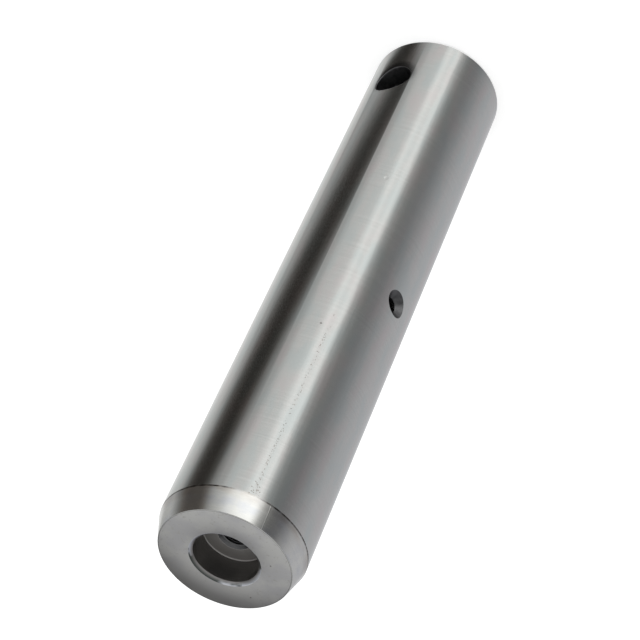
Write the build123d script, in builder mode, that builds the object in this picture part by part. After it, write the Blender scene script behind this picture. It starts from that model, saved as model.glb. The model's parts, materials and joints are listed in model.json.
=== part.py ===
"""Greasable pivot pin: a steel pin turned, drilled and ground from one bar.

The pin stands on its plain end.  +Z runs along its axis, towards the tapered end, where a grease
fitting sits in a recess.  The origin is the centre of the plain end.  The retaining bolt's hole runs
along X, and the grease comes out on the -Y side.  All sizes are in millimetres.
"""
from build123d import *
import math
import os

# --- The bar ----------------------------------------------------------------------------------------
pin_diameter = 50.0  # ground bearing surface
pin_length = 250.0  # face to face
plain_end_break = 0.5  # edge break on the plain end

# --- Lead-in taper, which guides the pin into its bores -----------------------------------------------
taper_length = 8.4  # along the axis
taper_drop = 2.6  # how far it comes in from the bearing surface
taper_edge_radius = 0.3  # softens both of its edges

# --- Recess in the tapered end, which keeps the grease fitting below the face -------------------------
recess_diameter = 22.0
recess_depth = 10.0
recess_mouth_chamfer = 1.0
recess_corner_radius = 0.6  # nose radius of the boring tool

# --- Tapped hole for the grease fitting, M10 x 1, modelled at the thread's core -----------------------
fitting_core_diameter = 9.0
fitting_countersink_diameter = 11.5
fitting_countersink_angle = 90.0
fitting_hole_depth = 14.0  # from the recess's floor to the end of the full bore

# --- Grease passages ----------------------------------------------------------------------------------
channel_diameter = 6.0  # along the axis, from the fitting to the outlet
outlet_diameter = 5.5  # from the channel out to the bearing surface
outlet_height = 132.5  # above the plain end
outlet_countersink_diameter = 10.6
outlet_countersink_angle = 90.0
drill_point_angle = 118.0

# --- Hole for the retaining bolt, right across the pin ------------------------------------------------
bolt_hole_diameter = 14.5
bolt_hole_height = 22.9  # its axis above the plain end
bolt_hole_edge_radius = 0.5

# --- What follows from those sizes --------------------------------------------------------------------
pin_radius = pin_diameter / 2
taper_face_radius = pin_radius - taper_drop
recess_floor = pin_length - recess_depth
fitting_hole_floor = recess_floor - fitting_hole_depth
channel_floor = outlet_height - channel_diameter / 2  # the whole outlet opens into the channel


def cone_height(wide_diameter, narrow_diameter, full_angle):
    """Height of a cone between two of its diameters."""
    return (wide_diameter - narrow_diameter) / 2 / math.tan(math.radians(full_angle / 2))


def cut_drill_point(floor, diameter, narrow_diameter=0.0):
    """Cut the cone that a twist drill leaves below a bore's floor."""
    with Locations((0, 0, floor)):
        Cone(
            bottom_radius=narrow_diameter / 2,
            top_radius=diameter / 2,
            height=cone_height(diameter, narrow_diameter, drill_point_angle),
            align=(Align.CENTER, Align.CENTER, Align.MAX),
            mode=Mode.SUBTRACT,
        )


with BuildPart() as pivot_pin:
    # The outside as it is turned: half of the pin's section, spun about its axis.
    with BuildSketch(Plane.XZ):
        with BuildLine():
            Polyline(
                (0, 0),
                (pin_radius - plain_end_break, 0),
                (pin_radius, plain_end_break),
                (pin_radius, pin_length - taper_length),
                (taper_face_radius, pin_length),
                (0, pin_length),
                close=True,
            )
        make_face()
    revolve(axis=Axis.Z)
    taper_edges = pivot_pin.edges().filter_by(GeomType.CIRCLE).sort_by(Axis.Z)[-2:]
    fillet(taper_edges, radius=taper_edge_radius)

    # The recess, bored flat, with a chamfered mouth and the tool's radius in its corner.
    with Locations((0, 0, pin_length)):
        Hole(radius=recess_diameter / 2, depth=recess_depth)
    recess_edges = pivot_pin.edges(Select.LAST).filter_by(GeomType.CIRCLE).sort_by(Axis.Z)
    fillet(recess_edges[0], radius=recess_corner_radius)
    chamfer(recess_edges[-1], length=recess_mouth_chamfer)

    # The tapped hole in the recess's floor, and the long grease channel drilled on from it.
    with Locations((0, 0, recess_floor)):
        Hole(radius=channel_diameter / 2, depth=recess_floor - channel_floor)
        CounterSinkHole(
            radius=fitting_core_diameter / 2,
            counter_sink_radius=fitting_countersink_diameter / 2,
            depth=fitting_hole_depth,
            counter_sink_angle=fitting_countersink_angle,
        )
    cut_drill_point(fitting_hole_floor, fitting_core_diameter, channel_diameter)
    cut_drill_point(channel_floor, channel_diameter)

    # The grease outlet, drilled in from the side until it meets the channel, and countersunk.
    with Locations(Plane(origin=(0, -pin_radius, outlet_height), z_dir=(0, -1, 0))):
        CounterSinkHole(
            radius=outlet_diameter / 2,
            counter_sink_radius=outlet_countersink_diameter / 2,
            depth=pin_radius,
            counter_sink_angle=outlet_countersink_angle,
        )

    # The retaining bolt's hole, with both of its rims softened.
    with Locations(Plane(origin=(0, 0, bolt_hole_height), z_dir=(1, 0, 0))):
        Hole(radius=bolt_hole_diameter / 2)
    bolt_hole_rims = pivot_pin.edges(Select.LAST).filter_by(GeomType.LINE, reverse=True)
    fillet(bolt_hole_rims, radius=bolt_hole_edge_radius)

pivot_pin.part.label = "pivot_pin"

os.makedirs("parts", exist_ok=True)
export_step(pivot_pin.part, "parts/pivot_pin.step")

print(f"pivot_pin: {pivot_pin.part.volume / 1000:.1f} cm3, {len(pivot_pin.part.solids())} solid")
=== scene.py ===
# %% [markdown]
# # A greasable pivot pin
# A pivot pin joins two arms of a digger or a loader. It is one bar of steel: turned on a lathe,
# drilled for grease, and ground to size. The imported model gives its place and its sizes, and this
# script gives it a finer mesh, its thread, its surface finishes, and a small studio to stand in.

import json
import math

import bmesh
import bpy
from mathutils import Matrix, Vector


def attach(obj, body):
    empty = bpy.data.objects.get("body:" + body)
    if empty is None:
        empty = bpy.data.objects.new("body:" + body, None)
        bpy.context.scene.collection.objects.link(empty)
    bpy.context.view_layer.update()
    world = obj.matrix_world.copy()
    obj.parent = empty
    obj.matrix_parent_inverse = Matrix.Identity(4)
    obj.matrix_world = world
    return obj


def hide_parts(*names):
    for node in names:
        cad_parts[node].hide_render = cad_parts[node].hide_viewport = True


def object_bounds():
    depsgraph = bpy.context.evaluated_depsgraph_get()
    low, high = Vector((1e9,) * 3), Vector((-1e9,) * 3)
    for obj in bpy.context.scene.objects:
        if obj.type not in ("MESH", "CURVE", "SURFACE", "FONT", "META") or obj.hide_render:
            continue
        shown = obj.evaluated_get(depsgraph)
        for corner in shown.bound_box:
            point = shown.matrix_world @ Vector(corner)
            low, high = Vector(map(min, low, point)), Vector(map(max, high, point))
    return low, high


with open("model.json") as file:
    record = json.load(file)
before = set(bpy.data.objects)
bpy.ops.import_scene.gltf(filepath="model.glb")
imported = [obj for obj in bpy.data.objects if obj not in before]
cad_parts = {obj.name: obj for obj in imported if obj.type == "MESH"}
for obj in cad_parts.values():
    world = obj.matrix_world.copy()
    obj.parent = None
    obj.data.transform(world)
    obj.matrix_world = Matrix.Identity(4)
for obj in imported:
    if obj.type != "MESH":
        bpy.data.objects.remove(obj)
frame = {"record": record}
solid_low, solid_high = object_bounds()
print("solid from", tuple(solid_low), "to", tuple(solid_high))

# %% [markdown]
# ## Sizes
# Blender works in metres and a drawing in millimetres, so one factor turns one into the other.
# What the record states as a mount is read from it: the radii of the holes and how far along the
# pin they are. The few sizes that no mount gives, such as an edge radius, are written here once.

# %% Sizes from the frame and the drawing
MM = 0.001
mounts = {m["name"]: m for m in frame["record"]["mounts"]}


def mount_radius(name):
    return mounts[name]["dims"]["r_mm"] * MM


pin_radius = mount_radius("bearing_surface")
pin_length = solid_high.z - solid_low.z
bolt_hole_radius = mount_radius("retaining_bolt_hole")
bolt_hole_height = mounts["retaining_bolt_hole"]["pos_m"][2]
core_radius = mount_radius("grease_fitting_hole")
recess_radius = mount_radius("fitting_recess")

plain_end_break = 0.5 * MM
taper_length = 8.4 * MM
taper_drop = 2.6 * MM
recess_depth = 10.0 * MM
recess_mouth_chamfer = 1.0 * MM
recess_corner_radius = 0.6 * MM
fitting_countersink_radius = 5.75 * MM
fitting_hole_depth = 14.0 * MM
thread_pitch = 1.0 * MM
thread_root_radius = 5.0 * MM
tapped_depth = 12.0 * MM
channel_radius = 3.0 * MM
outlet_radius = 2.75 * MM
outlet_height = 132.5 * MM
outlet_countersink_radius = 5.3 * MM
bolt_hole_edge_radius = 0.5 * MM
drill_point_slope = math.tan(math.radians(118 / 2))

taper_start = pin_length - taper_length
taper_face_radius = pin_radius - taper_drop
recess_floor = pin_length - recess_depth
fitting_hole_floor = recess_floor - fitting_hole_depth
channel_floor = outlet_height - channel_radius
print(f"pin {2 * pin_radius / MM:.0f} mm across and {pin_length / MM:.0f} mm long")

# %% [markdown]
# ## Turning the pin
# A lathe makes its shape by moving one tool along one path while the bar spins. The mesh is made the
# same way: half of the section is drawn as a line of points and spun about the axis. A cylinder with
# holes cut in it would also do, but the drawn section keeps the recess, the countersink and the
# drill's cones in one path, and every ring of the mesh follows a real edge. Ground steel mirrors its
# surroundings, so the spin has many steps: a coarse one would show as flat stripes.

# %% Spin the section
SPIN_STEPS = 512
EDGE_BREAK = 0.15 * MM
FACE_RIM_BREAK = 0.2 * MM
SAME_PLACE = 1e-7
thread_top = recess_floor - (fitting_countersink_radius - thread_root_radius)
thread_end = recess_floor - tapped_depth

pin_section = [
    (0, 0),
    (pin_radius - plain_end_break, 0),
    (pin_radius, plain_end_break),
    (pin_radius, taper_start),
    (taper_face_radius, pin_length),
    (recess_radius + recess_mouth_chamfer, pin_length),
    (recess_radius, pin_length - recess_mouth_chamfer),
    (recess_radius, recess_floor),
    (fitting_countersink_radius, recess_floor),
    (thread_root_radius, thread_top),
    (thread_root_radius, thread_end),
    (core_radius, thread_end - (thread_root_radius - core_radius)),
    (core_radius, fitting_hole_floor),
    (channel_radius, fitting_hole_floor - (core_radius - channel_radius) / drill_point_slope),
    (channel_radius, channel_floor),
    (0, channel_floor - channel_radius / drill_point_slope),
]


def spin_section(section, steps):
    """A closed mesh from half a section, whose points are (radius, height) from axis to axis."""
    bm = bmesh.new()
    corners = [bm.verts.new((radius, 0, height)) for radius, height in section]
    path = [bm.edges.new(pair) for pair in zip(corners, corners[1:])]
    bmesh.ops.spin(
        bm, geom=corners + path, cent=(0, 0, 0), axis=(0, 0, 1), dvec=(0, 0, 0),
        angle=math.tau, steps=steps, use_merge=True, use_normal_flip=False, use_duplicate=False,
    )
    bmesh.ops.remove_doubles(bm, verts=bm.verts, dist=SAME_PLACE)
    bmesh.ops.recalc_face_normals(bm, faces=bm.faces)
    return bm


def ring_edges(bm, radius, height):
    """The edges of the ring at a radius and a height."""
    def on_ring(vert):
        off_radius = abs(vert.co.xy.length - radius)
        off_height = abs(vert.co.z - height)
        return max(off_radius, off_height) < 10 * SAME_PLACE
    return [edge for edge in bm.edges if all(on_ring(vert) for vert in edge.verts)]


def round_ring(bm, radius, height, size, segments):
    """Roll a ring's sharp edge over, as a file, a stone or the nose of a tool leaves it."""
    bmesh.ops.bevel(
        bm, geom=ring_edges(bm, radius, height), offset=size, segments=segments,
        profile=0.5, affect="EDGES", material=-1,
    )


body = spin_section(pin_section, SPIN_STEPS)
round_ring(body, pin_radius, taper_start, EDGE_BREAK, 3)
round_ring(body, taper_face_radius, pin_length, FACE_RIM_BREAK, 3)
round_ring(body, recess_radius + recess_mouth_chamfer, pin_length, EDGE_BREAK, 3)
round_ring(body, recess_radius, recess_floor, recess_corner_radius, 4)
round_ring(body, fitting_countersink_radius, recess_floor, EDGE_BREAK, 2)
print("spun:", len(body.verts), "vertices,", len(body.faces), "faces")

# %% [markdown]
# ## Drilling across the pin
# The bolt's hole and the grease outlet run across the bar, so no spin about the pin's axis makes
# them. Each is a cutter taken away with a Boolean. The outlet's cutter has a cone at its mouth, as a
# countersink has. The bolt hole's rim is softened all the way round, so its cutter flares where it
# leaves the pin: each of its rings is bent to the pin's curve before the next one is drawn out.

# %% Cutters for the cross holes
CUTTER_SIDES = 128
CUTTER_REACH = 3 * MM


def outlet_cutter():
    """A countersunk drill that comes in from -Y and stops on the pin's axis."""
    cone_start = pin_radius - (outlet_countersink_radius - outlet_radius)
    bm = spin_section([
        (0, 0),
        (outlet_radius, 0),
        (outlet_radius, cone_start),
        (outlet_countersink_radius + CUTTER_REACH, pin_radius + CUTTER_REACH),
        (0, pin_radius + CUTTER_REACH),
    ], CUTTER_SIDES)
    to_side = Matrix.Translation((0, 0, outlet_height)) @ Matrix.Rotation(math.radians(90), 4, "X")
    bmesh.ops.transform(bm, matrix=to_side, verts=bm.verts)
    return bm


def draw_out(bm, rim):
    """Extrude an open rim of edges, and return the new rim and its vertices."""
    drawn = bmesh.ops.extrude_edge_only(bm, edges=rim)["geom"]
    new_rim = [part for part in drawn if isinstance(part, bmesh.types.BMEdge)]
    return new_rim, {vert for edge in new_rim for vert in edge.verts}


def bolt_hole_cutter():
    """A bar across the pin along X, which flares to the pin's surface at both ends."""
    bm = bmesh.new()
    lay_down = Matrix.Translation((0, 0, bolt_hole_height)) @ Matrix.Rotation(math.radians(90), 4, "Y")
    made = bmesh.ops.create_circle(
        bm, cap_ends=False, segments=CUTTER_SIDES, radius=bolt_hole_radius, matrix=lay_down)
    rim = list({edge for vert in made["verts"] for edge in vert.link_edges})
    # Each ring of the flare is so much wider than the hole and so far below the pin's surface. The
    # rings follow a quarter round, and the last one stands clear of the surface.
    soft = bolt_hole_edge_radius
    turns = [math.radians(degrees) for degrees in (0, 20, 40, 60)]
    flare = [(soft - soft * math.cos(turn), soft - soft * math.sin(turn)) for turn in turns]
    flare.append((1.5 * soft, -0.13 * soft))
    for wider, below in flare:
        rim, ring = draw_out(bm, rim)
        for vert in ring:
            across = Vector((vert.co.y, vert.co.z - bolt_hole_height)).normalized()
            across *= bolt_hole_radius + wider
            surface = math.sqrt(pin_radius ** 2 - across.x ** 2)
            vert.co = (surface - below, across.x, across.y + bolt_hole_height)
    rim, ring = draw_out(bm, rim)
    for vert in ring:
        vert.co.x = pin_radius + CUTTER_REACH
    bmesh.ops.edgenet_fill(bm, edges=rim)
    bmesh.ops.mirror(bm, geom=bm.verts[:] + bm.edges[:] + bm.faces[:], merge_dist=SAME_PLACE, axis="X")
    bmesh.ops.remove_doubles(bm, verts=bm.verts, dist=SAME_PLACE)
    bmesh.ops.recalc_face_normals(bm, faces=bm.faces)
    return bm


def add_object(name, bm):
    """Put a bmesh into the scene as an object that sits at the origin."""
    mesh = bpy.data.meshes.new(name)
    bm.to_mesh(mesh)
    bm.free()
    piece = bpy.data.objects.new(name, mesh)
    bpy.context.scene.collection.objects.link(piece)
    return piece


def cut(piece, cutter):
    """Take the cutter's shape out of the piece, and throw the cutter away."""
    boolean = piece.modifiers.new("cut", "BOOLEAN")
    boolean.operation = "DIFFERENCE"
    boolean.solver = "EXACT"
    boolean.object = cutter
    depsgraph = bpy.context.evaluated_depsgraph_get()
    cut_mesh = bpy.data.meshes.new_from_object(piece.evaluated_get(depsgraph))
    piece.modifiers.clear()
    piece.data = cut_mesh
    bpy.data.objects.remove(cutter)


pin = add_object("ground_pin", body)
cut(pin, add_object("outlet_drill", outlet_cutter()))
cut(pin, add_object("bolt_hole_drill", bolt_hole_cutter()))
print("drilled:", len(pin.data.polygons), "faces")

# %% [markdown]
# ## The thread
# A grease fitting screws into the hole in the recess's floor. An internal thread is a groove cut in
# the wall, and what is left between the turns is a ridge. So the wall above has the groove's radius,
# and the ridge is drawn out along a screw path: one tooth of the section, spun while it climbs.

# %% Spin one tooth up the hole
STEPS_PER_TURN = 96
tooth_sunk = 0.1 * MM
tooth_height = thread_root_radius - core_radius
tooth_foot = 7 / 8 * thread_pitch
TOOTH_FLANK = math.radians(30)
tooth_crest = tooth_foot - 2 * tooth_height * math.tan(TOOTH_FLANK)


def screw_thread(bottom, top):
    """The ridge of an internal thread between two heights, closed at both ends."""
    bm = bmesh.new()
    tooth = [
        (thread_root_radius + tooth_sunk, -tooth_foot / 2),
        (thread_root_radius, -tooth_foot / 2),
        (core_radius, -tooth_crest / 2),
        (core_radius, tooth_crest / 2),
        (thread_root_radius, tooth_foot / 2),
        (thread_root_radius + tooth_sunk, tooth_foot / 2),
    ]
    start = bm.faces.new([bm.verts.new((r, 0, bottom + h)) for r, h in tooth])
    turns = (top - bottom) / thread_pitch
    steps = round(turns * STEPS_PER_TURN)
    bmesh.ops.spin(
        bm, geom=[start, *start.edges, *start.verts], cent=(0, 0, 0), axis=(0, 0, 1),
        dvec=(0, 0, (top - bottom) / steps), angle=math.tau * turns, steps=steps,
        use_merge=False, use_normal_flip=False, use_duplicate=False,
    )
    bmesh.ops.recalc_face_normals(bm, faces=bm.faces)
    return bm


ridge = screw_thread(thread_end + tooth_foot / 2, thread_top - tooth_foot / 4)
thread = add_object("fitting_thread", ridge)
print("thread:", len(thread.data.polygons), "faces")

# %% [markdown]
# ## Which tool made which face
# One bar has several finishes: the long side is ground, the taper and the ends are turned, and the
# holes are bored or drilled. Each finish is a material slot, and each face finds its slot from where
# it lies. Asking for the place works after a Boolean too, which numbers the faces anew.

# %% Sort the faces by finish
FINISHES = ("ground", "turned", "faced", "bored", "drilled")
NEAR = 0.05 * MM


def finish_at(centre, normal):
    """The name of the finish of a face, from its middle and its normal."""
    radius = centre.xy.length
    if normal.z < -0.99 and centre.z < NEAR or normal.z > 0.99 and centre.z > pin_length - NEAR:
        return "faced"
    if centre.z > taper_start - 2 * NEAR and radius > taper_face_radius - 4 * NEAR:
        return "turned"
    if centre.z < plain_end_break and radius > pin_radius - plain_end_break - NEAR:
        return "turned"
    if radius > pin_radius - NEAR:
        return "ground"
    if centre.z > recess_floor - NEAR and radius > fitting_countersink_radius - NEAR:
        return "bored"
    return "drilled"


for face in pin.data.polygons:
    face.material_index = FINISHES.index(finish_at(face.center, face.normal))
for piece in (pin, thread):
    piece.data.shade_smooth()
    piece.data.set_sharp_from_angle(angle=math.radians(30))
slot_counts = [face.material_index for face in pin.data.polygons]
print("faces:", {name: slot_counts.count(slot) for slot, name in enumerate(FINISHES)})

# %% [markdown]
# ## Nodes, written by hand
# A material is a small graph: nodes that hold settings, and links that carry numbers or colours
# from one to the next. Three helpers are enough to write any of them. One turns a colour written as
# a hex code, as a paint card gives it, into the linear values that light works with. One adds a node,
# and each of its inputs is given as a fixed value or as another node's output. The last one clears
# the graph, so that it holds only what is written here.

# %% Helpers for materials
def linear(hex_code):
    """An sRGB hex colour as the linear RGBA that a socket takes."""
    shares = [int(hex_code[at:at + 2], 16) / 255 for at in (1, 3, 5)]
    return tuple(s / 12.92 if s <= 0.04045 else ((s + 0.055) / 1.055) ** 2.4 for s in shares) + (1,)


def add_node(tree, kind, inputs=None, **settings):
    """Add a node. The inputs' values are numbers, colours, or the sockets that they are linked to."""
    made = tree.nodes.new("ShaderNode" + kind)
    for name, value in settings.items():
        setattr(made, name, value)
    for socket, value in (inputs or {}).items():
        if isinstance(value, bpy.types.NodeSocket):
            tree.links.new(value, made.inputs[socket])
        else:
            made.inputs[socket].default_value = value
    return made


def new_tree(owner):
    """The empty node tree of a material or a world."""
    owner.use_nodes = True
    owner.node_tree.nodes.clear()
    return owner.node_tree


# %% [markdown]
# ## A pattern that follows the bar
# Grinding marks run round the bar and wear runs along it, so patterns are drawn on the bar's skin
# as if it were unrolled on a table: how far round, and how high up, both in millimetres. The angle
# round the axis times the radius gives the first. A plain noise in space would also do for
# mottling, but it can't be stretched along a curve.

# %% Unroll the bar's skin
def unrolled(tree):
    """Sockets for the distance round the bar, the height, and the distance from the axis, in mm."""
    place = add_node(tree, "TexCoord").outputs["Object"]
    in_mm = add_node(tree, "VectorMath", {0: place, "Scale": 1 / MM}, operation="SCALE").outputs[0]
    axes = add_node(tree, "SeparateXYZ", {0: in_mm})
    flat = add_node(tree, "CombineXYZ", {"X": axes.outputs["X"], "Y": axes.outputs["Y"]})
    radius = add_node(tree, "VectorMath", {0: flat.outputs[0]}, operation="LENGTH").outputs["Value"]
    angle = add_node(tree, "Math", {0: axes.outputs["Y"], 1: axes.outputs["X"]}, operation="ARCTAN2")
    around = add_node(
        tree, "Math", {0: angle.outputs[0], 1: pin_radius / MM}, operation="MULTIPLY").outputs[0]
    return around, axes.outputs["Z"], radius


def grain(tree, across, along, size_across, size_along, detail):
    """Noise from 0 to 1 whose blotches have these sizes in mm on the unrolled skin."""
    scaled_across = add_node(tree, "Math", {0: across, 1: 1 / size_across}, operation="MULTIPLY")
    scaled_along = add_node(tree, "Math", {0: along, 1: 1 / size_along}, operation="MULTIPLY")
    spot = add_node(tree, "CombineXYZ", {"X": scaled_across.outputs[0], "Y": scaled_along.outputs[0]})
    return add_node(
        tree, "TexNoise", {"Vector": spot.outputs[0], "Scale": 1.0, "Detail": detail}).outputs["Fac"]


# %% [markdown]
# ## Marks at a place
# Wear isn't even: a seam of tiny pits runs up one side of the bar, and there are single dents. A
# mark needs a mask, which is 1 on the mark and 0 away from it. The helpers measure a distance on
# the unrolled skin and fade it out, so that a mark's place and size are plain numbers in millimetres.
# A painted image could hold the marks too, but numbers are easy to move and stay sharp close up.

# %% Masks for marks
def fade(tree, value, full, gone):
    """A mask that is 1 where a value is at full and 0 where it has reached gone."""
    return add_node(
        tree, "MapRange",
        {"Value": value, "From Min": full, "From Max": gone, "To Min": 1.0, "To Max": 0.0},
        interpolation_type="SMOOTHSTEP",
    ).outputs[0]


def overlap(tree, first, second):
    """Where two masks are both on: their product. A plain number as the second weakens a mask."""
    return add_node(tree, "Math", {0: first, 1: second}, operation="MULTIPLY").outputs[0]


def away_from(tree, value, place):
    """How far a socket's value is from a place, either way."""
    past = add_node(tree, "Math", {0: value, 1: place}, operation="SUBTRACT").outputs[0]
    return add_node(tree, "Math", {0: past}, operation="ABSOLUTE").outputs[0]


def round_bar(azimuth):
    """How far round the bar's skin an azimuth in degrees lies, in mm."""
    return math.radians(azimuth) * pin_radius / MM


def dot_at(tree, skin, azimuth, height, size):
    """A round dot's mask: its azimuth in degrees, its height and size in mm."""
    place = (round_bar(azimuth), height, 0.0)
    away = add_node(tree, "VectorMath", {0: skin, 1: place}, operation="DISTANCE")
    return fade(tree, away.outputs["Value"], 0.15 * size, 0.5 * size)


def spots(tree, place, spacing, full, gone, share):
    """Scattered round spots: the place is cut into cells, and a share of the cells has a spot."""
    cells = add_node(tree, "TexVoronoi", {"Vector": place, "Scale": 1 / spacing})
    luck = add_node(tree, "SeparateColor", {0: cells.outputs["Color"]}).outputs[0]
    chosen = add_node(tree, "Math", {0: luck, 1: share}, operation="LESS_THAN").outputs[0]
    return overlap(tree, fade(tree, cells.outputs["Distance"], full, gone), chosen)


# %% [markdown]
# ## From masks to metal
# Every finish here is bare steel, so they share one shader: a Principled surface at full metallic,
# whose colour is what it mirrors head on. A finish then differs in three things only: the colour
# with its stains laid over it, how rough it is, and which way its fine lines smear a reflection.

# %% Stains, roughness and the steel shader
def paint_over(tree, mask, under, over, strength=1.0):
    """A colour with another laid over it where the mask is 1, fully or with less strength."""
    if strength < 1:
        mask = overlap(tree, mask, strength)
    return add_node(tree, "Mix", {0: mask, 6: under, 7: over}, data_type="RGBA").outputs[2]


def roughness_from(tree, pattern, least, most):
    """Roughness that goes from least to most as a pattern goes from 0 to 1."""
    return add_node(tree, "MapRange", {"Value": pattern, "To Min": least, "To Max": most}).outputs[0]


def steel_shader(tree, colour, roughness, relief, smear):
    """Bare steel whose lines run round the bar. The smear is how far they draw reflections along it."""
    tangent = add_node(tree, "Tangent", direction_type="RADIAL", axis="Z").outputs[0]
    steel = add_node(tree, "BsdfPrincipled", {
        "Base Color": colour,
        "Metallic": 1.0,
        "Roughness": roughness,
        "Normal": relief,
        "Tangent": tangent,
        "Anisotropic": smear,
        "Anisotropic Rotation": 0.25,
    })
    add_node(tree, "OutputMaterial", {"Surface": steel.outputs[0]})


# %% [markdown]
# ## A seam of pits
# Where the pin has lain against another part, damp has eaten a line of small brown pits into it. The
# line climbs the bar, and near the taper it is wider and denser. Each pit could be modelled, but at a
# few hundredths of a millimetre deep they do little more than darken the steel, so the cells of a
# Voronoi pattern stand for them.

# %% Pits up one side
# Heights and widths are in mm, from the plain end.
SEAM_AZIMUTH = -44.1
SEAM_STARTS = 135.0
SEAM_FULL = 165.0
PIT_SPACING = 0.6


def seam_pits(tree, around, height, skin):
    """The mask of the pits: one side of the bar has them, and more of them higher up."""
    # Over the last few millimetres below the taper the line spreads out.
    width = add_node(tree, "MapRange", {
        "Value": height, "From Min": 232.0, "From Max": 241.0, "To Min": 0.5, "To Max": 2.6}).outputs[0]
    # Low down a tenth of the cells have a pit, and high up three in four.
    density = add_node(tree, "MapRange", {
        "Value": height, "From Min": 120.0, "From Max": 215.0, "To Min": 0.1, "To Max": 0.75}).outputs[0]
    density = overlap(tree, density, fade(tree, height, SEAM_FULL, SEAM_STARTS))
    from_seam = away_from(tree, around, round_bar(SEAM_AZIMUTH))
    widths_off = add_node(tree, "Math", {0: from_seam, 1: width}, operation="DIVIDE").outputs[0]
    share = overlap(tree, density, fade(tree, widths_off, 0.2, 1.3))
    return spots(tree, skin, PIT_SPACING, 0.15, 0.55, share)


# %% [markdown]
# ## Ground steel
# The long side is finished on a cylindrical grinder. The wheel leaves hair-fine lines round the
# bar, so a reflection stays crisp round the bar and is smeared along it: that is anisotropy, with
# the smear set along the axis. Bright steel has little colour of its own and takes its look from
# what stands round it, so the stains in it are faint. A few single marks make it a used part.

# %% Ground steel
# The azimuth in degrees, the height and the size in mm.
SPECK = (-37.4, 162.6, 1.2)
DENT = (-36.4, 83.6, 2.0)
# Painted shade lies round the bolt hole, darkest towards the plain end.
RIM_SHADE_DROP = 1.6


def ground_steel():
    """Ground bearing surface: crisp round the bar, smeared along it."""
    material = bpy.data.materials.new("ground_steel")
    tree = new_tree(material)
    around, height, _ = unrolled(tree)
    skin = add_node(tree, "CombineXYZ", {"X": around, "Y": height}).outputs[0]
    # The wheel's lines are about 0.02 mm apart: here they are drawn 0.7 mm apart, so that they show.
    lines = grain(tree, around, height, 60.0, 0.7, 3.0)
    # A bar springs a little between the wheels, which leaves long, very shallow waves.
    waves = grain(tree, around, height, 2.2, 110.0, 3.0)
    sway = grain(tree, around, height, 7.0, 45.0, 3.0)
    mottle = grain(tree, around, height, 6.0, 22.0, 4.0)
    pit = seam_pits(tree, around, height, skin)
    speck = dot_at(tree, skin, *SPECK)
    dent = dot_at(tree, skin, *DENT)
    # Painted shade round the bolt hole, centred a little towards the plain end.
    rim_shade_place = (0.0, bolt_hole_height / MM - RIM_SHADE_DROP, 0.0)
    from_hole = add_node(tree, "VectorMath", {0: skin, 1: rim_shade_place}, operation="DISTANCE")
    rim = bolt_hole_radius / MM
    rim_shade = fade(tree, from_hole.outputs["Value"], rim - 0.5, rim + 3.0)

    steel = paint_over(tree, lines, linear("#c2c3c1"), linear("#d2d3d1"))
    steel = paint_over(tree, fade(tree, mottle, 0.35, 0.55), steel, linear("#c5cac9"))
    steel = paint_over(tree, fade(tree, mottle, 0.7, 0.5), steel, linear("#cdc9c8"))
    steel = paint_over(tree, pit, steel, linear("#6b5c4e"), 0.62)
    # Painted shade round the bolt hole.
    steel = paint_over(tree, rim_shade, steel, linear("#5f6264"), 0.85)
    steel = paint_over(tree, speck, steel, linear("#55504a"), 0.6)

    relief = add_node(tree, "Bump", {"Height": sway, "Distance": 0.05 * MM}).outputs[0]
    for shape, depth, sunk in ((waves, 0.016, False), (dent, 0.06, True), (pit, 0.015, True)):
        relief = add_node(tree, "Bump", {
            "Height": shape, "Distance": depth * MM, "Normal": relief}, invert=sunk).outputs[0]
    steel_shader(tree, steel, roughness_from(tree, lines, 0.16, 0.22), relief, 0.8)
    return material


# %% [markdown]
# ## Turned steel
# The taper is cut on a lathe, which leaves a fine spiral, and it is handled more than any other
# part: it leads the pin into its bore, and gets hammered. Where it meets the ground side, grinding
# dust and rust gather against a small burr, so the edge shows as a thin brown line that fades where
# the edge has been rubbed clean, with a faint brown stain beside it. One scratch runs up it.

# %% Turned steel
RUBBED_AZIMUTH = -40.0
SCRATCH_AZIMUTH = -59.5
SCRATCH_SLANT = 0.12


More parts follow.
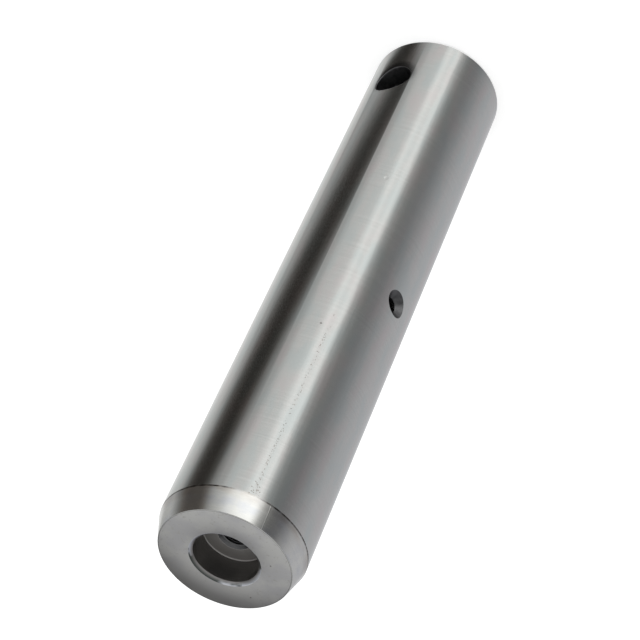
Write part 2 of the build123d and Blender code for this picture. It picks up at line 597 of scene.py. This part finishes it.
def turned_steel():
    """Lathe-turned taper: much like the ground side, with softer lines and more wear."""
    material = bpy.data.materials.new("turned_steel")
    tree = new_tree(material)
    around, height, _ = unrolled(tree)
    edge_height = taper_start / MM
    # A finishing cut's spiral is about 0.1 mm apart: here it is drawn 0.6 mm apart, so that it shows.
    lines = grain(tree, around, height, 40.0, 0.6, 2.0)
    cloud = grain(tree, around, height, 7.0, 4.0, 4.0)
    blotch = grain(tree, around, height, 12.0, 5.0, 4.0)
    broken = add_node(tree, "MapRange", {
        "Value": grain(tree, around, height, 1.6, 30.0, 3.0),
        "From Min": 0.3, "From Max": 0.6, "To Min": 0.35, "To Max": 1.0}).outputs[0]
    kept = add_node(tree, "MapRange", {
        "Value": away_from(tree, around, round_bar(RUBBED_AZIMUTH)),
        "From Min": 3.0, "From Max": 9.0, "To Min": 0.2, "To Max": 1.0}).outputs[0]
    from_edge = away_from(tree, height, edge_height)
    grime = overlap(tree, fade(tree, from_edge, 0.2, 0.65), overlap(tree, kept, broken))
    stain = overlap(tree, fade(tree, from_edge, 0.5, 4.0), fade(tree, blotch, 0.65, 0.4))

    steel = paint_over(tree, lines, linear("#c6c7c4"), linear("#d4d4d1"))
    steel = paint_over(tree, fade(tree, cloud, 0.75, 0.4), steel, linear("#c1c3c6"))
    steel = paint_over(tree, stain, steel, linear("#9a8a7c"), 0.4)
    steel = paint_over(tree, grime, steel, linear("#2f2823"))

    # The scratch slants a little, so its place round the bar moves as it climbs.
    climbed = add_node(tree, "Math", {0: height, 1: edge_height}, operation="SUBTRACT").outputs[0]
    slanted = add_node(
        tree, "Math", {0: climbed, 1: SCRATCH_SLANT, 2: around}, operation="MULTIPLY_ADD").outputs[0]
    from_scratch = away_from(tree, slanted, round_bar(SCRATCH_AZIMUTH))
    scratch = overlap(tree, fade(tree, from_scratch, 0.03, 0.24), broken)
    relief = add_node(tree, "Bump", {"Height": scratch, "Distance": 0.022 * MM}).outputs[0]
    steel_shader(tree, steel, roughness_from(tree, lines, 0.16, 0.22), relief, 0.5)
    return material


# %% [markdown]
# ## Faced steel
# The end is faced: the tool crosses it from rim to middle, and leaves rings that are too fine to see
# one by one. They dull the face, so it looks flat grey. Handling stains it in soft blotches, painted
# shade darkens one side more than the other, a few specks of rust have started, and a thin dark line
# runs round its outer edge.

# %% Faced steel
# The side towards which the end is painted darker, as painted shade.
SHADED_AZIMUTH = math.radians(135)
SHADED_SIDE = (math.cos(SHADED_AZIMUTH), math.sin(SHADED_AZIMUTH), 0.0)


def faced_steel():
    """Faced end: flat grey, blotched, and darker towards one side with painted shade."""
    material = bpy.data.materials.new("faced_steel")
    tree = new_tree(material)
    _, _, radius = unrolled(tree)
    place = add_node(tree, "TexCoord").outputs["Object"]
    blotches = add_node(
        tree, "TexNoise", {"Vector": place, "Scale": 1 / (7 * MM), "Detail": 5.0}).outputs["Fac"]
    streaks = add_node(
        tree, "TexNoise", {"Vector": place, "Scale": 1 / (1.2 * MM), "Detail": 3.0}).outputs["Fac"]
    # The tool's rings are about 0.1 mm apart: here they are drawn 0.5 mm apart, so that they show.
    rings = grain(tree, 0.0, radius, 1.0, 0.5, 2.0)
    toward_shaded_side = add_node(tree, "VectorMath", {0: place, 1: SHADED_SIDE}, operation="DOT_PRODUCT")
    side_shade = fade(tree, toward_shaded_side.outputs["Value"], taper_face_radius, 0.0)
    rim = fade(tree, away_from(tree, radius, taper_face_radius / MM), 0.15, 0.5)
    rust = spots(tree, place, 2.5 * MM, 0.06, 0.16, 0.05)

    steel = paint_over(tree, fade(tree, blotches, 0.4, 0.62), linear("#cdcdcb"), linear("#c3c3c4"))
    steel = paint_over(tree, fade(tree, streaks, 0.27, 0.42), steel, linear("#bdbcb9"))
    # Painted shade: one side of the end is darker.
    steel = paint_over(tree, side_shade, steel, linear("#9a9998"))
    steel = paint_over(tree, rim, steel, linear("#4c4a48"), 0.75)
    steel = paint_over(tree, rust, steel, linear("#4a453f"), 0.7)
    relief = add_node(tree, "Bump", {"Height": rings, "Distance": 0.004 * MM}).outputs[0]
    steel_shader(tree, steel, roughness_from(tree, blotches, 0.24, 0.36), relief, 0.0)
    return material


# %% [markdown]
# ## Bored steel
# A recess cut by a boring bar is bright metal, but light seldom gets in and out again, so it looks
# dark; its wall is also painted a darker grey than the outside, as painted shade. Its mouth has a
# chamfer, whose bright and dark patches are painted reflection and painted shade over the tool's
# chatter marks: the chamfer shares the wall's slot, so the distance from the axis is what tells the
# two apart.

# %% Bored steel
def bored_steel():
    """Bored recess: fine rings on a wall painted darker as shade, and painted reflection and shade in
    patches on the chamfer.
    """
    material = bpy.data.materials.new("bored_steel")
    tree = new_tree(material)
    around, height, radius = unrolled(tree)
    # The boring bar's rings are about 0.1 mm apart: here they are drawn 0.5 mm apart.
    lines = grain(tree, around, height, 30.0, 0.5, 2.0)
    chatter_and_reflection = grain(tree, around, height, 26.0, 4.0, 3.0)
    on_chamfer = fade(tree, radius, (recess_radius + recess_mouth_chamfer) / MM, recess_radius / MM)
    # The wall's darker grey is painted shade.
    wall = paint_over(tree, lines, linear("#908e8c"), linear("#a3a19f"))
    # Painted reflection and shade: bright bluish patches and dark gaps on the chamfer.
    chamfer = paint_over(tree, fade(tree, chatter_and_reflection, 0.54, 0.46), linear("#dcdfe6"), linear("#4f5452"))
    steel = paint_over(tree, on_chamfer, wall, chamfer)
    wall_relief = add_node(tree, "Bump", {"Height": lines, "Distance": 0.01 * MM}).outputs[0]
    chamfer_relief = add_node(tree, "Bump", {"Height": chatter_and_reflection, "Distance": 0.03 * MM}).outputs[0]
    relief = add_node(
        tree, "Mix", {0: on_chamfer, 4: wall_relief, 5: chamfer_relief}, data_type="VECTOR").outputs[1]
    steel_shader(tree, steel, roughness_from(tree, lines, 0.30, 0.42), relief, 0.0)
    return material


# %% [markdown]
# ## Drilled steel
# A drill tears more than it cuts, so its holes are rougher than the rest. Their steel is painted dark
# in blotches, which is painted shade for the depth of the holes. With all five finishes made, each
# slot of the mesh gets its own.

# %% Drilled steel, and all finishes in their slots
def drilled_steel():
    """Drilled holes: rough, and painted dark in blotches as shade."""
    material = bpy.data.materials.new("drilled_steel")
    tree = new_tree(material)
    place = add_node(tree, "TexCoord").outputs["Object"]
    shade_blotches = add_node(
        tree, "TexNoise", {"Vector": place, "Scale": 1 / (1.5 * MM), "Detail": 3.0}).outputs["Fac"]
    # Painted shade: the holes' steel is painted dark, in blotches.
    steel = paint_over(tree, shade_blotches, linear("#47484a"), linear("#7c7c7d"))
    relief = add_node(tree, "Bump", {"Height": shade_blotches, "Distance": 0.03 * MM}).outputs[0]
    steel_shader(tree, steel, roughness_from(tree, shade_blotches, 0.3, 0.5), relief, 0.0)
    return material


finishes = {
    "ground": ground_steel(),
    "turned": turned_steel(),
    "faced": faced_steel(),
    "bored": bored_steel(),
    "drilled": drilled_steel(),
}
for name in FINISHES:
    pin.data.materials.append(finishes[name])
thread.data.materials.append(finishes["drilled"])
print("materials:", [material.name for material in finishes.values()])

# %% [markdown]
# ## Fitting the pieces to the frame
# The imported model knows the pin as one body. The new mesh rides on it, and takes the place of the
# plain node, which is then hidden.

# %% Ride and replace
for piece in (pin, thread):
    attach(piece, "root")
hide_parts("pivot_pin")
print("pieces on the frame:", pin.name, "and", thread.name)

# %% [markdown]
# ## The light tent
# Bright steel looks like what it mirrors, so it is shown in a tent: white cloth all round, with a
# few dark cards, whose reflections draw the shape. Cards could be planes round the pin, but on a
# round bar only their bearing matters, so the tent is the world's colour. Two bands of it go round
# by azimuth: one below the pin's middle that the long side mirrors, and one at the pin's own height
# that the taper mirrors. Seen straight, the world is plain white, and what it sheds is plain too.

# %% The bands of the tent
TENT_FRONT = -45.0
# The bearing in degrees from the front of the tent, then how bright the cloth or card is there.
LOW_BAND = [
    (-180, 0.82), (-160, 0.72), (-152, 0.62), (-144, 0.58), (-128, 0.57), (-112, 0.56), (-96, 0.53),
    (-80, 0.44), (-64, 0.34), (-48, 0.25), (-32, 0.25), (-22, 0.38), (-16, 0.61), (-9, 1.16), (0, 1.00),
    (8, 1.14), (16, 0.81), (24, 0.76), (40, 0.70), (48, 0.52), (56, 0.45), (64, 0.27), (72, 0.08),
    (80, 0.035), (88, 0.03), (96, 0.04), (104, 0.08), (112, 0.29), (120, 0.56), (144, 0.78),
    (156, 0.93), (180, 0.84),
]
WALL_BAND = [
    (-180, 0.42), (-168, 0.53), (-150, 0.58), (-112, 0.64), (-88, 0.60), (-76, 0.51), (-64, 0.36),
    (-52, 0.20), (-42, 0.165), (-33, 0.18), (-27, 0.34), (-20, 0.52), (-15, 1.10), (-9, 1.80),
    (10, 1.62), (20, 1.32), (28, 1.18), (34, 0.87), (41, 0.68), (48, 0.56), (55, 0.38), (62, 0.17),
    (69, 0.09), (89, 0.10), (97, 0.15), (104, 0.24), (112, 0.42), (120, 0.60), (150, 0.46),
    (168, 0.38), (180, 0.38),
]
# The cards left of the front are warm, and the cloth far to the right is cool.
DARK_CARD = 0.2
COOL_FROM = -40
CLOTH_SHADE = (1.0, 1.0, 0.99)
WARM_SHADE = (1.0, 0.90, 0.82)
COOL_SHADE = (0.975, 0.97, 1.0)


def tent_band(tree, bearing, stops):
    """The cloth and the cards of one band, as a colour ramp over the bearing."""
    ramp = add_node(tree, "ValToRGB", {0: bearing})
    elements = ramp.color_ramp.elements
    elements.remove(elements[1])
    elements[0].position = 0.0
    for degrees, _ in stops[1:]:
        elements.new(degrees / 360 + 0.5)
    for element, (degrees, brightness) in zip(elements, stops):
        shade = CLOTH_SHADE
        if degrees < COOL_FROM:
            shade = COOL_SHADE
        elif brightness < DARK_CARD and degrees > 0:
            shade = WARM_SHADE
        element.color = (*[brightness * part for part in shade], 1.0)
    return ramp.outputs[0]


print("tent bands:", len(LOW_BAND), "and", len(WALL_BAND), "stops")

# %% [markdown]
# ## The world
# The bands are stacked by how steeply a ray rises: the low band, the wall band, and a plain roof,
# which the faced end mirrors. They count only for rays that show the background, so the light that
# the world sheds on the floor stays even, and a ray straight from the camera finds white.

# %% The world as a tent
WHITE = linear("#ffffff")
# In degrees above the horizon: where a band is full, and where the next one has taken over.
LOW_BAND_FULL, LOW_BAND_GONE = -28, -23
ROOF_FULL, ROOF_GONE = 30, 6
# The roof grows brighter between two rises, which are sines of the angle above the horizon.
ROOF_RISES = (0.50, 0.61)
ROOF_BRIGHTNESS = (0.17, 0.63)
SHED_STRENGTH = 0.75


def seen_share(tree, rays):
    """1 for a ray that shows the background: straight, in a mirror, or through glass. Else 0."""
    share = rays.outputs["Is Camera Ray"]
    for kind in ("Is Glossy Ray", "Is Transmission Ray"):
        share = add_node(tree, "Math", {0: share, 1: rays.outputs[kind]}, operation="MAXIMUM").outputs[0]
    return share


def rise_fade(tree, rise, full, gone):
    """A mask over how steeply a ray rises, between two angles in degrees above the horizon."""
    return fade(tree, rise, math.sin(math.radians(full)), math.sin(math.radians(gone)))


def light_tent():
    """The world: the tent for mirrored rays, white for the camera, plain light for the rest."""
    world = bpy.data.worlds.new("light_tent")
    world.cycles.sampling_method = "NONE"
    tree = new_tree(world)
    rays = add_node(tree, "LightPath")
    direction = add_node(tree, "TexCoord").outputs["Generated"]
    from_front = add_node(tree, "Mapping", {
        "Vector": direction, "Rotation": (0, 0, math.radians(-TENT_FRONT))}).outputs[0]
    bearing = add_node(tree, "TexGradient", {0: from_front}, gradient_type="RADIAL").outputs["Fac"]
    rise = add_node(tree, "SeparateXYZ", {0: direction}).outputs["Z"]
    roof = add_node(tree, "MapRange", {
        "Value": rise, "From Min": ROOF_RISES[0], "From Max": ROOF_RISES[1],
        "To Min": ROOF_BRIGHTNESS[0], "To Max": ROOF_BRIGHTNESS[1]}).outputs[0]
    low = tent_band(tree, bearing, LOW_BAND)
    wall = tent_band(tree, bearing, WALL_BAND)
    tent = paint_over(tree, rise_fade(tree, rise, LOW_BAND_FULL, LOW_BAND_GONE), wall, low)
    tent = paint_over(tree, rise_fade(tree, rise, ROOF_FULL, ROOF_GONE), tent, roof)
    tent = paint_over(tree, rays.outputs["Is Camera Ray"], tent, WHITE)
    shown = add_node(tree, "Background", {"Color": tent, "Strength": 1.0}).outputs[0]
    shed = add_node(tree, "Background", {"Color": WHITE, "Strength": SHED_STRENGTH}).outputs[0]
    both = add_node(tree, "MixShader", {0: seen_share(tree, rays), 1: shed, 2: shown}).outputs[0]
    add_node(tree, "OutputWorld", {"Surface": both})
    return world


bpy.context.scene.world = light_tent()
print("world:", bpy.context.scene.world.name, "with", len(bpy.context.scene.world.node_tree.nodes), "nodes")

# %% [markdown]
# ## Floor and lamp
# The pin stands on its plain end, on a pale floor. The floor is matt paint with a little light of
# its own for rays that show it, so that it meets the white world without a line and still keeps the
# pin's soft shadow. One wide lamp overhead casts that shadow. The steel doesn't mirror the lamp or
# the floor, because the tent already holds what it mirrors.

# %% Floor and lamp
FLOOR_RADIUS = 4.0
FLOOR_GAP = 0.1 * MM
FLOOR_LIFT = 0.45
LAMP_SIZE = 1.5
LAMP_HEIGHT = 1.6
LAMP_WATTS = 10

floor_disc = bmesh.new()
bmesh.ops.create_circle(floor_disc, cap_ends=True, segments=96, radius=FLOOR_RADIUS)
bmesh.ops.translate(floor_disc, verts=floor_disc.verts, vec=(0, 0, -FLOOR_GAP))
floor = add_object("floor", floor_disc)
floor.visible_glossy = False


def matt_floor_paint():
    """Matt pale paint, lifted a little for the rays that show it, so that it meets the white world."""
    material = bpy.data.materials.new("matt_floor_paint")
    tree = new_tree(material)
    lift = overlap(tree, seen_share(tree, add_node(tree, "LightPath")), FLOOR_LIFT)
    paint = add_node(tree, "BsdfDiffuse", {"Color": linear("#dcdcdc")}).outputs[0]
    glow = add_node(tree, "Emission", {"Color": WHITE, "Strength": lift}).outputs[0]
    both = add_node(tree, "AddShader", {0: paint, 1: glow}).outputs[0]
    add_node(tree, "OutputMaterial", {"Surface": both})
    return material


floor.data.materials.append(matt_floor_paint())

lamp = bpy.data.lights.new("overhead_softbox", "AREA")
lamp.shape = "SQUARE"
lamp.size = LAMP_SIZE
lamp.energy = LAMP_WATTS
softbox = bpy.data.objects.new("overhead_softbox", lamp)
softbox.location = (0, 0, LAMP_HEIGHT)
softbox.visible_glossy = False
softbox.visible_camera = False
bpy.context.scene.collection.objects.link(softbox)
print("floor", 2 * FLOOR_RADIUS, "m across, lamp at", tuple(softbox.location))

# %% [markdown]
# ## Camera
# The camera looks down at 44 degrees on the side between the bolt hole and the grease outlet, and
# it is rolled until the tapered end comes to the lower left, as if the pin lay on a bench. Its turns
# are written in the order in which they are made: roll about the line of sight, tilt, then bearing.

# %% Camera
CAMERA_BEARING = -45.0
camera_reach = 553.9 * MM
camera_height = 670.9 * MM
FOCAL_LENGTH = 123.97
CAMERA_ROLL = 204.68
LOOKS_DOWN = 43.91
# The pin's axis is this many degrees beside the middle of the view.
ASIDE = 0.437

camera_data = bpy.data.cameras.new("camera")
camera_data.sensor_width = 36.0
camera_data.lens = FOCAL_LENGTH
camera = bpy.data.objects.new("camera", camera_data)
roll = Matrix.Rotation(math.radians(CAMERA_ROLL), 4, "Z")
tilt = Matrix.Rotation(math.radians(90 - LOOKS_DOWN), 4, "X")
swing = Matrix.Rotation(math.radians(90 + CAMERA_BEARING - ASIDE), 4, "Z")
stand = Matrix.Translation((
    camera_reach * math.cos(math.radians(CAMERA_BEARING)),
    camera_reach * math.sin(math.radians(CAMERA_BEARING)),
    camera_height,
))
camera.matrix_world = stand @ swing @ tilt @ roll
bpy.context.scene.collection.objects.link(camera)
bpy.context.scene.camera = camera
bpy.context.scene.view_settings.view_transform = "Standard"
print("camera at", tuple(camera.matrix_world.translation))
